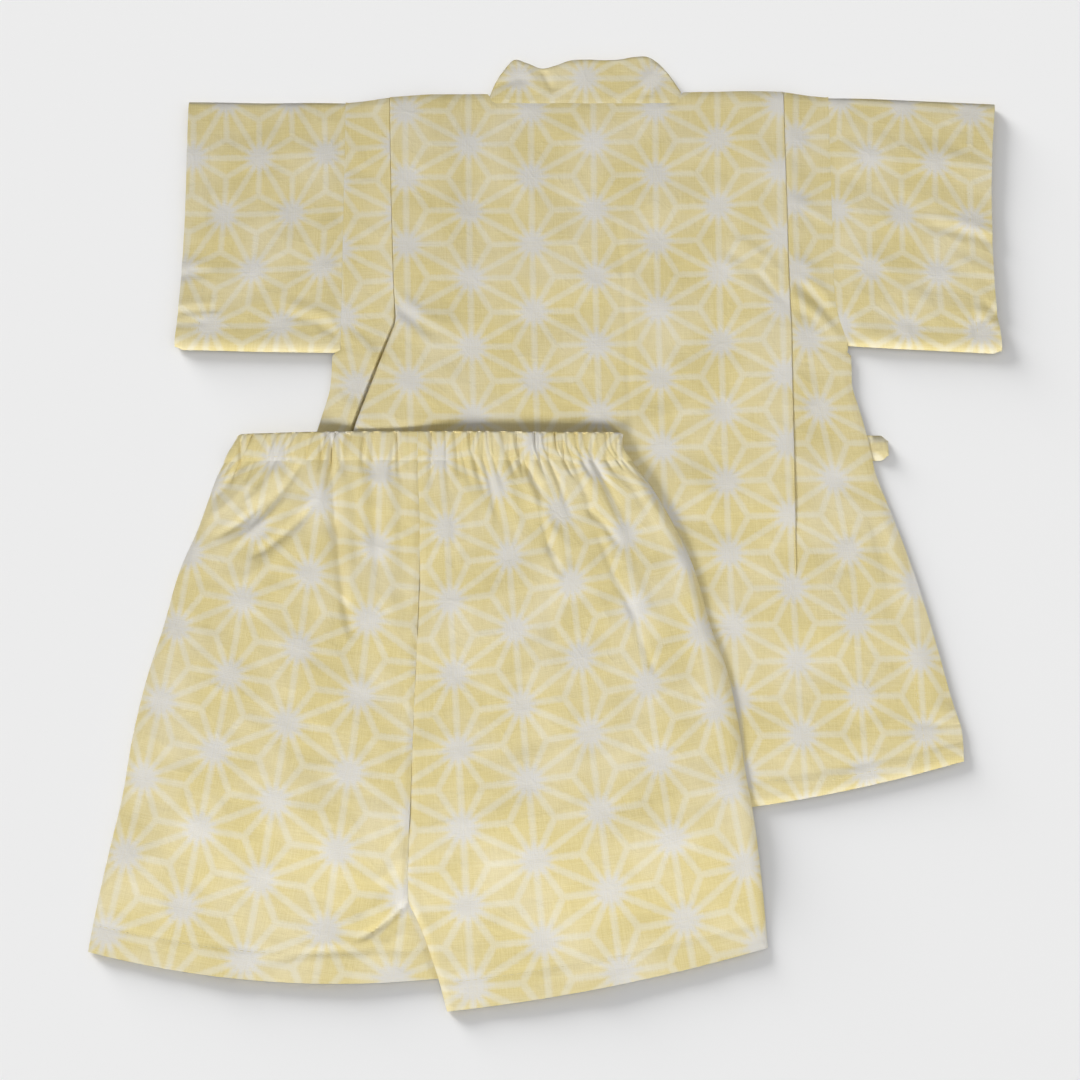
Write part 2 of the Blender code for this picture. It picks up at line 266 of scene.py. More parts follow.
def clothMaterial(name, look):
    s = Shader(name)
    uv = s.node("ShaderNodeUVMap", {"uv_map": "cut"})
    mmPlace = s.scaled(uv, (100.0, 100.0, 0.0))  # one step of the map is 100 mm
    # the slubby yarns pull the printed edges to and fro
    raggedX = s.noise(s.scaled(mmPlace, (0.12, 1.5, 1.0)), 1.0, 2.0) - 0.5
    raggedY = s.noise(s.scaled(mmPlace, (1.5, 0.12, 1.0)), 1.0, 2.0) - 0.5
    parts = s.tree.nodes.new("ShaderNodeSeparateXYZ")
    s.tree.links.new(mmPlace.out, parts.inputs[0])
    px = Sock(s, parts.outputs[0]) + raggedX * (2 * look["ragged"])
    py = Sock(s, parts.outputs[1]) + raggedY * (2 * look["ragged"])
    wide, tall = look["repeat"] * math.sqrt(3), look["repeat"]
    ax = px.math("WRAP", -wide / 2, wide / 2)
    ay = py.math("WRAP", -tall / 2, tall / 2)
    bx = (px - wide / 2).math("WRAP", -wide / 2, wide / 2)
    by = (py - tall / 2).math("WRAP", -tall / 2, tall / 2)
    nearer = (bx * bx + by * by).math("LESS_THAN", ax * ax + ay * ay)
    x = ax + (bx - ax) * nearer
    y = ay + (by - ay) * nearer
    radius = (x * x + y * y).math("SQRT")
    turn = y.math("ARCTAN2", x).math("WRAP", -math.pi / 12, math.pi / 12)
    away = (radius * turn.math("SINE")).math("ABSOLUTE")
    soft = look["lineSoft"]
    lines = 1.0 - s.ramp(away, look["lineHalf"] - soft, look["lineHalf"] + soft)
    cloud = s.noise(mmPlace, 0.55, 3.0, 0.6)
    blotchEdge = radius + (cloud - 0.5) * 7.0 + away * 2.0
    blotch = 1.0 - s.ramp(blotchEdge, look["blotchRadius"] - look["blotchSoft"],
                          look["blotchRadius"] + look["blotchSoft"])
    # weave: threads both ways, with slubs
    slubWarp = s.noise(s.scaled(mmPlace, (2.2, 0.07, 1.0)), 1.0, 3.0, 0.55)
    slubWeft = s.noise(s.scaled(mmPlace, (0.07, 2.2, 1.0)), 1.0, 3.0, 0.55)
    grain = s.noise(mmPlace, 1.6, 2.0, 0.6)
    slubs = slubWarp + slubWeft
    tint = s.ramp(slubs + grain * 0.5, 0.95, 1.55)
    ground = s.blend(tint, colour(look["groundDeep"]), colour(look["ground"]))
    printed = s.blend(lines * (0.72 + 0.28 * tint), ground, colour(look["line"]))
    shown = s.blend(blotch * (0.75 + 0.25 * tint), printed, colour(look["blotch"]))
    patch = s.noise(mmPlace, 0.03, 2.0)
    shown = s.blend(s.ramp(patch, 0.35, 0.75) * 0.18, shown, colour("FFFFFF"))
    # small crumples left by washing: thin ridges where two soft fields meet
    crumpleA = (s.noise(mmPlace, 0.075, 2.0, 0.45) - 0.5).math("ABSOLUTE")
    crumpleB = (s.noise(s.scaled(mmPlace, (0.16, 0.11, 1.0)), 1.0, 1.0, 0.4) - 0.5).math("ABSOLUTE")
    crumple = s.ramp(crumpleA, 0.0, 0.09) + 0.5 * s.ramp(crumpleB, 0.0, 0.08)
    threads = (px * (2 * math.pi / 0.62)).math("SINE") * (py * (2 * math.pi / 0.62)).math("SINE")
    height = slubs * look["slubBump"] + grain * 0.25 + threads * (0.12 * look["weaveBump"])
    height = height - crumple * look["crumple"]
    bump = s.node("ShaderNodeBump", {}, {"Strength": 0.55, "Distance": 0.00035, "Height": height})
    rough = look["roughness"] - 0.06 * tint
    s.tree.nodes.new("ShaderNodeOutputMaterial")
    cloth = s.node("ShaderNodeBsdfPrincipled", {}, {
        "Base Color": shown, "Roughness": rough, "Normal": bump, "Sheen Weight": 0.12,
        "Sheen Roughness": 0.5, "Specular IOR Level": 0.25})
    s.tree.links.new(cloth.out, s.tree.nodes["Material Output"].inputs["Surface"])
    return s.material


bodyCloth = clothMaterial("paleYellowCotton", clothLook)
trimCloth = clothMaterial("collarCotton", clothLook)
shortsCloth = clothMaterial("shortsCotton", clothLook)
print("cloth materials made")


# the top: what all its panels share

stand = {  # the collar where it stands up behind the neck
    "left": -36.8,
    "right": 61.8,
    "x": [-36.8, -33, -28, -24, -17, -9, -2, 5, 14, 24, 31, 38, 46, 50, 56, 61.8],
    "top": [214.5, 224, 232, 236.6, 235.2, 232.0, 233.6, 236.2,
            236.8, 236.5, 237.0, 238.4, 238.2, 235.6, 229, 220],
    "cols": 140,
    "creases": [
        (-9, 232, -4, 221, 0, 2.0, -0.9), (-15, 230, -12, 220, 0, 2.6, 0.5),
        (-33, 222, -18, 226, 1, 2.4, -0.5),
        (8, 235, 4, 222, 0, 3.0, 0.4), (30, 236, 26, 220, 0, 3.0, -0.4), (50, 234, 36, 218, 1, 2.6, 0.5),
        (54, 230, 44, 217, 1, 2.2, -0.5),
    ],
}

backLow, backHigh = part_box("back")
top = {
    "centre": (backLow.x + backHigh.x) / 2 / mm,
    "hemY": backLow.y / mm,
    "seam": 123.0,
    "seamFoot": 81.5,
    "neckY": 213.0,
    "hemRise": 27.0,
    "sideY": [80.0, 61, 48, 28, 11, -4, -30, -61, -82, -103, -122, -149],
    "sideHalf": [127.0, 128, 131.5, 137.5, 143, 148.5, 157, 165.5, 170.5, 175, 177, 177.5],
    "shoulderX": [-110.0, -86, -66, -45, -37, -33, 14, 59, 63, 72, 114, 138],
    "shoulderY": [213.3, 215.6, 217.2, 218.3, 218.4, 213.2, 213.0, 213.2, 219.3, 219.6, 218.5, 216.3],
    "starX": 17.5,
    "starY": 156.0,
    "rightOutY": [113.0, 106, 98, 90, 82, 70, 50, 36, 20],
    "rightOut": [0.0, 0.5, 2.0, 4.3, 6.0, 3.2, 3.0, 2.2, 0.0],
}


def halfWidth(y, side=-1):
    body = curveAt(y, top["sideY"], top["sideHalf"])
    out = curveAt(y, top["rightOutY"], top["rightOut"])
    toSeam = smooth((y - top["seamFoot"] + 2.0) / 3.0)
    belowArm = np.where(y > top["seamFoot"], out, np.minimum(out, 3.2))
    return mix(body, top["seam"], toSeam) + np.where(side > 0, belowArm, 0.0)


def hemLift(x):
    return top["hemRise"] * np.clip(np.abs(x - top["centre"]) / 177.0, 0, 1) ** 1.9


def edgeShift(x, y):
    atTop = smooth((y - 183.0) / 30.0)
    atHem = smooth((top["hemY"] + 60.0 - y) / 60.0)
    lift = lineAt(x, top["shoulderX"], top["shoulderY"]) - top["neckY"]
    return lift * atTop + hemLift(x) * atHem


back = {
    "level": 2.9,
    "edgeLevel": 2.0,
    "lowest": 1.9,  # the fronts lie below this
    "hemTurn": 12.0,
    "broadWave": (0.28, 46.0, 3),  # height, size, seed
    "fineWave": (0.10, 17.0, 5),
    "radius": 0.62,  # of a tuck's pressed fold
    # how the grain lies: terms 1, x, y, xy, xx, yy for each 100 mm from x, y; a least-squares fit
    "print": {"x": 35.0, "y": 95.0,
              "u": (110.7, 101.3, 1.7, -2.0, 0.6, -1.1), "v": (-115.9, -2.2, 100.9, 0, 0, 0)},
    "rows": 190,
    "leftTuck": {  # y, place of the fold, depth, lift, the slit beside it, the swell past that
        "y": [213.0, 160, 113, 98, 94, 80, 60, 44, 38, 28, 20, -149],
        "fold": [-86.5, -84.8, -82.8, -81.7, -82.2, -87.3, -94.5, -100.2, -102, -104, -105, -105],
        "depth": [12.5, 13.3, 14.0, 14.4, 14.6, 15.6, 17.2, 18.5, 15.0, 6.0, 0, 0],
        "lift": [0.0, 0, 0.1, 0.4, 0.7, 1.1, 1.5, 1.8, 1.4, 0.4, 0, 0],
        "slit": [0, 0, 0, 0.6, 1.6, 2.6, 3.0, 3.0, 2.0, 0.4, 0, 0],
        "beside": [1.9, 1.8, 1.8, 1.9, 2.0, 2.2, 2.4, 2.4, 1.5, 0.3, 0, 0],
    },
    "rightTuck": {
        "y": [213.0, 160, 120, 92, 57, 20, -16, -35, -60, -149],
        "fold": [114.0, 114.2, 114.3, 114.8, 114.6, 114.4, 114.2, 114.2, 114.2, 114.2],
        "depth": [10.5, 11.0, 10.4, 8.6, 6.4, 3.2, 0.9, 0.0, 0.0, 0.0],
        "lift": [0.0, 0, 0.1, 0.15, 0.1, 0, 0, 0, 0, 0],
        "slit": [0, 0, 0, 0, 0, 0, 0, 0, 0, 0],
        "beside": [2.0, 2.0, 2.0, 1.9, 1.7, 1.0, 0.3, 0, 0, 0],
    },
    "creases": [  # x0, y0, x1, y1, bow, width, height
        (30, 142, 34, 62, 1, 1.4, -0.6), (33, 142, 37, 62, 1, 2.4, 0.35), (34, 66, 35, 42, 0, 1.4, -0.4),
        (90, 138, 108, 124, 1, 1.8, 0.5), (86, 132, 104, 116, 1, 1.8, -0.55),
        (92, 128, 110, 112, 1, 1.8, 0.4),
        (82, 128, 96, 114, 0, 1.6, 0.3), (96, 122, 112, 106, 1, 2.0, -0.4),
        (-79, 109, -60, 95, -1, 2.0, 0.5), (-81, 104, -62, 89, -1, 2.0, -0.55),
        (-80, 98, -66, 86, -1, 2.4, 0.4),
        (119, 116, 139, 95, 1, 2.2, -0.9), (117, 109, 138, 88, 1, 2.8, 0.9),
        (124, 118, 139, 104, 1, 2.6, 0.7),
        (121, 101, 136, 88, 1, 2.0, -0.5), (137, 80, 124, 50, 2, 3.5, 0.5),
        (118, 160, 134, 150, 1, 3.0, 0.5),
        (118, 128, 130, 122, 0, 2.4, 0.4), (-115, 76, -114.5, 47, 0, 1.3, -1.1),
        (-111.5, 80, -111, 50, 0, 2.0, 0.5),
        (158, -4, 166, -48, 2, 2.2, 1.2), (153, -8, 161, -52, 2, 2.0, -1.2),
        (148, -2, 152, -40, 1, 3.0, 0.5),
        (143, -14, 132, -27, 0, 1.8, 0.9), (146, -18, 134, -32, 0, 1.8, -0.6),
        (146, -10, 150, -60, 1, 5.0, 0.6),
        (120, 20, 128, -60, -2, 7.0, 0.8), (134, -40, 150, -110, 1, 8.0, 0.7),
        (105, -30, 112, -130, 1, 9.0, 0.6), (168, -60, 184, -112, 1, 4.0, 0.6),
        (160, -70, 172, -118, 1, 3.0, -0.5),
        (178, -96, 188, -104, 0, 2.0, 0.6), (172, -108, 186, -116, 0, 2.0, -0.5),
        (140, -124, 152, -108, 1, 3.0, 0.4),
        (-100, 88, -90, 72, 1, 3.0, 0.6), (-106, 96, -92, 84, 1, 2.4, -0.5),
        (-30, 190, -10, 150, 2, 9.0, 0.5),
        (60, 190, 50, 150, -2, 9.0, 0.5), (-60, 200, -52, 120, 0, 8.0, 0.4),
        (96, 200, 92, 60, 0, 7.0, 0.4), (-20, 120, 60, 112, 2, 10.0, 0.35),
        (70, 60, 40, 44, 1, 5.0, 0.5), (-112, 60, -100, 50, 0, 3.0, 0.5), (56, 20, 74, 8, 1, 4.0, 0.4),
        (60, -4, 84, -12, 1, 4.0, -0.4), (-108, 150, -92, 140, 1, 3.0, 0.35),
        (-108, 178, -92, 172, 1, 3.0, -0.3),
    ],
}


def tuckPath(q, depth, lift, radius, reach):
    # q runs along the cloth, 0 at the outer fold, and on to the garment's side
    low = np.minimum(radius, depth / 3.4)
    up = low + lift / 2 * np.clip(depth / 2.0, 0, 1)
    first = math.pi * up / 2
    back1 = first + np.maximum(depth - up - low, 0)
    back2 = back1 + math.pi * low
    safeUp, safeLow = np.maximum(up, 1e-6), np.maximum(low, 1e-6)
    x = q + (first - up) * (1 - np.clip(-q / reach, 0, 1))
    z = 2 * up + 2 * low
    z = z * (1.0 - smooth((-q - depth - 3.0) / 30.0)) + 0 * q
    turn1 = np.abs(q) <= first
    angle = -q / safeUp
    x = np.where(turn1, -up + up * np.cos(angle), x)
    z = np.where(turn1, 2 * low + up + up * np.sin(angle), z)
    under = (q > first) & (q <= back1)
    x = np.where(under, -up - (q - first), x)
    z = np.where(under, 2 * low, z)
    turn2 = (q > back1) & (q <= back2)
    angle2 = (q - back1) / safeLow
    x = np.where(turn2, -depth + low - low * np.sin(angle2), x)
    z = np.where(turn2, low + low * np.cos(angle2), z)
    beyond = q > back2
    x = np.where(beyond, -depth + low + q - back2, x)
    z = np.where(beyond, 0.0, z)
    hidden = back2 + depth - low
    return x, z, hidden, (first, back1, back2)


def tuckColumns(y, settings, sideX, side):
    # the cloth's places across half of the back, for every row
    fold = lineAt(y, settings["y"], settings["fold"])
    depth = lineAt(y, settings["y"], settings["depth"])
    lift = lineAt(y, settings["y"], settings["lift"])
    reach = side * (fold - top["centre"])
    _, _, hidden, (first, back1, back2) = tuckPath(np.zeros_like(y), depth, lift, back["radius"], reach)
    end = side * (sideX - fold) + hidden
    under = np.maximum(back1, first + 0.6)
    turned = np.maximum(back2, under + 0.5)
    atSlit = np.maximum(hidden - 0.8, turned + 0.3)
    pastSlit = np.maximum(hidden + 0.9, atSlit + 0.6)
    stops = [-reach, -first - 1.2, first + 0.05, under, turned, atSlit, pastSlit, pastSlit + 1.6, end]
    counts = [72, 9, 4, 7, 4, 8, 4, 14]
    pieces = [-reach[:, None]]
    for a, b, count in zip(stops[:-1], stops[1:], counts):
        share = np.arange(1, count + 1) / count
        pieces.append(a[:, None] + (b - a)[:, None] * share)
    q = np.concatenate(pieces, axis=1)
    x, z, _, _ = tuckPath(q, depth[:, None], lift[:, None], back["radius"], reach[:, None])
    # the cloth beside the fold swells up to it, and only a narrow slit stays between them
    slit = lineAt(y, settings["y"], settings["slit"])[:, None]
    beside = lineAt(y, settings["y"], settings["beside"])[:, None]
    room = np.maximum(x, 0.0)
    swell = beside * np.exp(-(room / 9.0) ** 2) * smooth((x + 0.9) / 1.3)
    slit = slit * np.exp(-(room / (0.7 + 0.2 * slit)) ** 2) * smooth(x + 1.0)
    z = z + (swell - slit) * (q > first[:, None])
    return fold[:, None] + side * x, z, fold[:, None] + side * q


def backSurface(xFlat, yFlat, zTuck):
    # height of the back where the tucks and the edges have their say
    half = halfWidth(yFlat, xFlat - top["centre"])
    sideRoom = half - np.abs(xFlat - top["centre"])
    hemRoom = yFlat - top["hemY"]
    topRoom = top["neckY"] - yFlat
    atNeck = (xFlat > stand["left"]) & (xFlat < stand["right"])
    topRoom = np.where(atNeck, 5.0 + topRoom, topRoom)  # the neck is a seam and not a fold
    room = np.minimum(np.minimum(sideRoom, hemRoom), topRoom)
    body = back["edgeLevel"] + (back["level"] - back["edgeLevel"]) * roundEdge(room / 5.0)
    seamy = smooth((yFlat - top["seamFoot"]) / 4.0)
    seam = mix(body, back["level"] - 0.1 * np.exp(-sideRoom ** 2), seamy)
    z = np.where(room == sideRoom, seam, body)
    puff = smooth(room / 25.0)
    waves = creaseHeight(xFlat, yFlat, back["creases"]) * smooth(room / 6.0)
    waves = waves + wavesAt(xFlat, yFlat, back["broadWave"]) * puff
    waves = waves + wavesAt(xFlat, yFlat, back["fineWave"]) * smooth(room / 8.0)
    pastTurn = hemRoom - back["hemTurn"]
    hemBand = 0.35 * smooth(-pastTurn / 1.2) - 0.3 * np.exp(-((pastTurn - 0.4) / 0.9) ** 2)
    neckSeam = np.where(atNeck, 0.25 * np.exp(-((topRoom - 5.0) / 1.2) ** 2), 0.0)
    z = z + waves + hemBand * smooth(hemRoom / 1.5) + zTuck - neckSeam
    return np.maximum(z, back["lowest"])


def printPlace(lie, x, y):  # where on the flat cut a point of the laid cloth lies
    a, b = (x - lie["x"]) / 100.0, (y - lie["y"]) / 100.0
    terms = (1.0, a, b, a * b, a * a, b * b)
    u = sum(k * term for k, term in zip(lie["u"], terms))
    v = sum(k * term for k, term in zip(lie["v"], terms))
    return u, v


def backPoints():
    y = np.linspace(top["hemY"], top["neckY"], back["rows"])
    xr, zr, sr = tuckColumns(y, back["rightTuck"], top["centre"] + halfWidth(y, 1), 1)
    xl, zl, sl = tuckColumns(y, back["leftTuck"], top["centre"] - halfWidth(y, -1), -1)
    x = np.concatenate([xl[:, ::-1], xr[:, 1:]], axis=1)
    z = np.concatenate([zl[:, ::-1], zr[:, 1:]], axis=1)
    s = np.concatenate([sl[:, ::-1], sr[:, 1:]], axis=1)
    rows = y[:, None] + 0 * x
    height = backSurface(x, rows, z)
    laid = rows + edgeShift(x, rows)
    u, v = printPlace(back["print"], s, laid)
    return x, laid, height, u, v


backArrays = backPoints()
backPiece = clothSheet("backPanel", *backArrays)
finishPiece(backPiece, bodyCloth, ["back"])
print("back made")


# sleeves

sleeve = {
    "cuffTurn": 12.0,
    "across": 86,
    "around": 104,
    "underShare": 0.3,
    "seamLevel": 2.9,
    "cuffY": [82.0, 100, 150, 190, 215],
    "broadWave": (0.3, 30.0, 7),
    "fineWave": (0.12, 12.0, 9),
}
sleeves = {
    "left": {
        "side": -1, "node": "sleeve_left", "cuffOut": [82.6, 81.2, 79.6, 79.8, 79.9],
        "topY": [213.4, 213.6, 213.4, 213.8, 214.0], "bottomY": [80.6, 80.9, 81.2, 81.8, 82.2],
        "print": {"x": -153.0, "y": 154.0, "v": (52.9, 106.1, -2.8, 4.4, 0, 9.3),
                  "u": (-60.9, -2.8, 104.3, 0, -12.0, -3.7)},
        "creases": [  # out from the seam, y, to the same, bow, width, height
            (66, 122, 82, 119, 1, 1.4, -0.9), (68, 126, 82, 124, 1, 2.2, 0.5),
            (62, 103, 82, 101, 0, 1.2, -0.9),
            (66, 106, 82, 105, 0, 1.8, 0.5), (68, 96, 82, 95, 0, 1.4, -0.6), (10, 93, 2, 90, 0, 1.4, -0.7),
            (26, 99, 4, 93, -1, 1.6, -0.5), (24, 104, 6, 99, -1, 2.6, 0.4),
            (36, 112, 14, 101, 1, 3.0, 0.25),
            (20, 190, 60, 182, -2, 9, 0.4), (22, 108, 6, 118, 1, 3.0, -0.3),
            (2, 176, 40, 166, 3, 8, 0.4), (24, 140, 44, 122, 2, 6, 0.5), (40, 120, 60, 112, 1, 4, 0.4),
        ],
    },
    "right": {
        "side": 1, "node": "sleeve_right", "cuffOut": [82.3, 80.6, 80.2, 82.3, 85.0],
        "topY": [216.2, 215.8, 214.8, 213.8, 212.8], "bottomY": [84.2, 83.0, 82.0, 81.0, 80.0],
        "print": {"x": 179.0, "y": 152.0, "v": (43.6, 105.9, -1.8, 3.1, -12.6, -5.7),
                  "u": (-62.2, 9.1, 105.9, 4.6, 0, 1.5)},
        "creases": [
            (48, 147, 80, 138, 1, 2.0, -1.0), (50, 151, 80, 142, 1, 2.4, 0.8),
            (44, 160, 70, 152, 1, 4, 0.4),
            (74, 106, 84, 92, 1, 1.5, -0.8), (69, 102, 80, 88, 1, 2.6, 0.7), (60, 128, 80, 120, 1, 3, 0.4),
            (30, 112, 70, 98, 1, 5, 0.4), (10, 184, 70, 176, 2, 8, 0.5), (66, 94, 82, 100, 1, 1.5, -0.7),
            (60, 182, 82, 176, 1, 4, 0.4), (2, 160, 30, 150, 1, 7, 0.4), (20, 130, 48, 96, 3, 6, 0.4),
        ],
    },
}


def sleevePoints(arm):
    side = arm["side"]
    t = np.linspace(0.0, 1.0, sleeve["across"])[:, None]
    ring = np.linspace(0.0, 1.0, sleeve["around"])[None, :]
    under = ring < sleeve["underShare"]
    onUnder = np.clip(ring / sleeve["underShare"], 0, 1)
    onUpper = np.clip((ring - sleeve["underShare"]) / (1 - sleeve["underShare"]), 0, 1)
    # rows stand closer at the fold above and at the rolled seam below
    spread = np.where(under, 1 - onUnder, onUpper)
    drop = mix(spread, 0.5 - 0.5 * np.cos(math.pi * spread), 0.6)
    topY = curveAt(t, np.linspace(0, 1, 5), arm["topY"])
    bottomY = curveAt(t, np.linspace(0, 1, 5), arm["bottomY"]) + 1.6 * smooth((t - 0.94) / 0.06)
    y = topY - (topY - bottomY) * drop
    seamOut = halfWidth(np.maximum(y, top["seamFoot"] + 1.0), side) - top["seam"]
    reach = curveAt(y, sleeve["cuffY"], arm["cuffOut"]) - seamOut
    out = t * reach
    cuffRoom = reach - out
    upRoom, lowRoom = topY - y, y - bottomY
    seamLoft = smooth(out / 10.0)
    upperRoll = roundEdge(upRoom / 4.0) * roundEdge(lowRoom / 4.5)
    underRoll = roundEdge(upRoom / 2.0) * roundEdge(lowRoom / 3.0)
    puff = 2.8 + 0.9 * seamLoft + 0.4 * np.exp(-((lowRoom - 6.0) / 5.5) ** 2) * seamLoft
    waves = creaseHeight(out, y, arm["creases"]) + wavesAt(out + 90 * side, y, sleeve["broadWave"])
    waves = waves + wavesAt(out + 50 * side, y, sleeve["fineWave"])
    cuff = 0.08 * smooth(sleeve["cuffTurn"] - cuffRoom)
    groove = 0.1 * np.exp(-((cuffRoom - sleeve["cuffTurn"] - 0.6) / 0.8) ** 2)
    inner = smooth(np.minimum(upRoom, lowRoom) / 6.0)
    upperZ = 1.5 + (puff - 1.4) * upperRoll + (waves + cuff - groove) * inner * smooth(out / 4.0)
    seamDip = sleeve["seamLevel"] - 0.1 * np.exp(-out ** 2)
    upperZ = mix(np.minimum(upperZ, seamDip), upperZ, smooth(out / 5.0))
    z = np.where(under, 1.5 - 1.42 * underRoll, upperZ)
    x = top["centre"] + side * (top["seam"] + 0.03 + seamOut + out)
    u, v = printPlace(arm["print"], x, y)
    uFold, _ = printPlace(arm["print"], x, topY + 0 * y)
    u = np.where(under, 2 * uFold - u, u)
    if side < 0:
        return [a[:, ::-1] for a in (x, y, z, u, v)]
    return [x, y, z, u, v]


def makeSleeve(name, arm):
    made = clothSheet(name, *sleevePoints(arm), weld=True)
    finishPiece(made, bodyCloth, [arm["node"]])


makeSleeve("sleeveLeft", sleeves["left"])
makeSleeve("sleeveRight", sleeves["right"])
print("sleeves made")


# fronts, hidden below the back

front = {
    "edge": 90.0,
    "neck": 49.0,
    "collarFoot": 38.0,
    "collarRun": 28.0,
    "rows": 92,
    "cols": 56,
}


def frontEdge(y):
    share = np.clip((y - front["collarFoot"]) / (top["neckY"] - front["collarFoot"]), 0, 1)
    return mix(front["edge"], -front["neck"], share)


def makeFront(name, side, level, node):
    y = np.linspace(top["hemY"] + 0.5, top["neckY"], front["rows"])[:, None]
    t = np.linspace(0, 1, front["cols"])[None, :]
    onCollar = smooth(y - front["collarFoot"] + 0.5)
    edge = -frontEdge(y) + (front["collarRun"] + 0.3) * onCollar
    outer = halfWidth(y) - 0.6
    out = mix(edge, outer, t)
    x = top["centre"] + side * out
    rows = y + 0 * x
    shift = edgeShift(x, rows) * mix(1.0, t, onCollar)
    sideRoom = halfWidth(rows) - np.abs(x - top["centre"])
    if level > 0.9:
        lift = (1.15 - level) * (1 - smooth(sideRoom / 6.0))
    else:
        lift = 0.35 * (1 - smooth(sideRoom / 4.0))
    z = level + lift + 0 * x
    u, v = x - top["starX"] + 11.0, rows - top["starY"] + 5.0
    if side < 0:
        x, rows, z, u, v, shift = (a[:, ::-1] for a in (x, rows, z, u, v, shift))
    made = clothSheet(name, x, rows + shift, z, u, v)
    finishPiece(made, bodyCloth, [node])


def makeFrontCollar(name, side, level, node):
    y = np.linspace(front["collarFoot"] + 1.2, top["neckY"] - 0.6, 70)[:, None]
    t = np.linspace(0, 1, 12)[None, :]
    out = -frontEdge(y) + t * front["collarRun"]
    x = top["centre"] + side * out
    rows = y + 0 * x
    z = level + 0.12 * np.sin(math.pi * t) + 0 * x
    u, v = (t - 0.5) * 24.0 + 0 * x, (rows - 100.0) * 1.28
    if side < 0:
        x, rows, z, u, v = (a[:, ::-1] for a in (x, rows, z, u, v))
    made = clothSheet(name, x, rows, z, u, v)
    finishPiece(made, trimCloth, [node])


makeFront("frontLeft", -1, 0.55, "front_left")
makeFront("frontRight", 1, 1.75, "front_right")
makeFrontCollar("collarLeft", -1, 0.6, "collar_left")
makeFrontCollar("collarRight", 1, 1.8, "collar_right")
print("fronts made")


# collar stand at the back of the neck

def makeStand():
    x = np.linspace(stand["left"], stand["right"], stand["cols"])[:, None]
    t = np.linspace(0.0, 1.0, 56)[None, :]
    outer = t < 0.62
    up = np.where(outer, t / 0.62, 1 - (t - 0.62) / 0.38)
    up = np.sin(up * math.pi / 2) ** 1.1
    tops = curveAt(x, stand["x"], stand["top"])
    foot = top["neckY"] + 0.03
    y = foot + (tops - foot) * up
    middle = np.sin(math.pi * (x - stand["left"]) / (stand["right"] - stand["left"])) ** 0.7
    lean = back["level"] + (1.6 * middle - 0.6) * up
    room = tops - y
    seam = 0.25 * np.exp(-((y - foot) / 1.2) ** 2)
    waves = creaseHeight(x + 0 * t, y, stand["creases"]) * smooth((y - foot) / 3.0)
    outerZ = lean - seam + waves * smooth(room / 3.0) - 0.9 * (1 - roundEdge(room / 2.5))
    z = np.where(outer, outerZ, lean - 0.9 - 0.7 * roundEdge(room / 2.0))
    xx = x + 0 * t
    length = np.where(outer, y, 2 * tops - y)
    u, v = length - 226.4, (xx - 13.3) * 1.06
    made = clothSheet("collarStand", xx[:, ::-1], y[:, ::-1], z[:, ::-1], u[:, ::-1], v[:, ::-1])
    finishPiece(made, trimCloth, ["collar_neck"])


makeStand()
print("collar made")


# the shorts

shorts = {
    "waistY": 24.0,
    "waistTopY": 38.1,
    "level": 3.35,
    "sideFall": 42.0,  # how far past the top's edge the cloth comes down to the floor
    "hemFall": 66.0,
    "loft": 3.3,
    "waistLoft": 1.5,
    "crotchY": -188.0,
    "hemTurn": 13.0,
    "broadWave": (0.42, 44.0, 21),
    "fineWave": (0.16, 14.0, 31),
    "outerLeftY": [40.0, 24, 19, 5, -8, -29, -56, -83, -111, -138, -166, -197, -211],
    "outerLeft": [-157.6, -165.4, -167.8, -172.5, -176.6, -184.8,
                  -191.5, -199, -204.5, -208, -213.5, -219, -221],
    "outerRightY": [40.0, 29, 24, 19, 13, 4, -6, -26, -43, -57, -75, -105, -128, -143, -177, -209],
    "outerRight": [30.2, 31.8, 35.5, 39, 43.5, 49, 54.5, 63.5, 68.5, 72, 78.5, 84.6, 87.5, 90, 94, 96.5],
    "innerY": [40.0, 24, -15, -67, -99, -140, -178, -188, -197, -206, -213, -223, -238],
    "inner": [-69.9, -69.7, -68.2, -69, -70, -71, -71.8, -71.3, -67, -63.3, -60.7, -57.3, -53],
}
